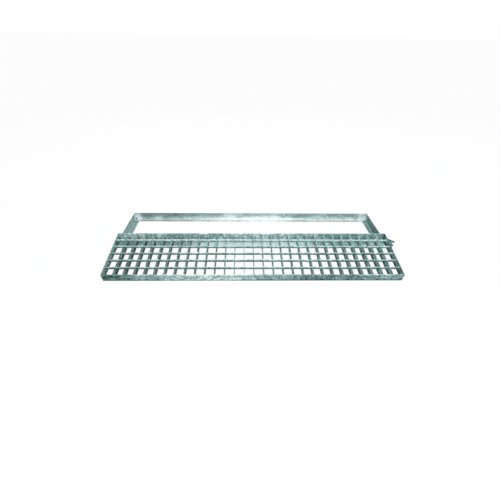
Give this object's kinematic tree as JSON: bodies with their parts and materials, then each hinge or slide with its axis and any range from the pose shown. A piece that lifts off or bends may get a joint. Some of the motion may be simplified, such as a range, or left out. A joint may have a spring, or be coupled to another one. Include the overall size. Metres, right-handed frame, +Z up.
{
  "type": "drain channel grate with frame",
  "caption": "Press-locked steel grating with square cells, leaning on its mitred angle-iron frame; covers a drain channel and carries foot or light wheel traffic.",
  "frame": {"origin": "middle of the underside of the frame's back rail, at half the width of its lying leg", "axes": "+X along the frame's length to the right, +Y away from the leaning grate, +Z up"},
  "size_m": [1.0528, 0.4018, 0.062],
  "materials": {
    "galvanised_frame": "hot-dip galvanised, weathered blue-grey with pale patches",
    "galvanised_bars": "hot-dip galvanised, blue-grey flanks with pale top edges"
  },
  "bodies": {
    "root": {"front_rail": "galvanised_frame", "back_rail": "galvanised_frame", "left_rail": "galvanised_frame", "right_rail": "galvanised_frame", "wall_anchor": "galvanised_frame", "front_border": "galvanised_bars", "back_border": "galvanised_bars", "left_border": "galvanised_bars", "right_border": "galvanised_bars", "cross_bar_1": "galvanised_bars", "cross_bar_2": "galvanised_bars", "cross_bar_3": "galvanised_bars", "cross_bar_4": "galvanised_bars", "cross_bar_5": "galvanised_bars", "load_bar_1": "galvanised_bars", "load_bar_2": "galvanised_bars", "load_bar_3": "galvanised_bars", "load_bar_4": "galvanised_bars", "load_bar_5": "galvanised_bars", "load_bar_6": "galvanised_bars", "load_bar_7": "galvanised_bars", "load_bar_8": "galvanised_bars", "load_bar_9": "galvanised_bars", "load_bar_10": "galvanised_bars", "load_bar_11": "galvanised_bars", "load_bar_12": "galvanised_bars", "load_bar_13": "galvanised_bars", "load_bar_14": "galvanised_bars", "load_bar_15": "galvanised_bars", "load_bar_16": "galvanised_bars", "load_bar_17": "galvanised_bars", "load_bar_18": "galvanised_bars", "load_bar_19": "galvanised_bars", "load_bar_20": "galvanised_bars", "load_bar_21": "galvanised_bars", "load_bar_22": "galvanised_bars", "load_bar_23": "galvanised_bars", "load_bar_24": "galvanised_bars", "load_bar_25": "galvanised_bars", "load_bar_26": "galvanised_bars", "load_bar_27": "galvanised_bars", "load_bar_28": "galvanised_bars", "load_bar_29": "galvanised_bars"}
  },
  "joints": []
}
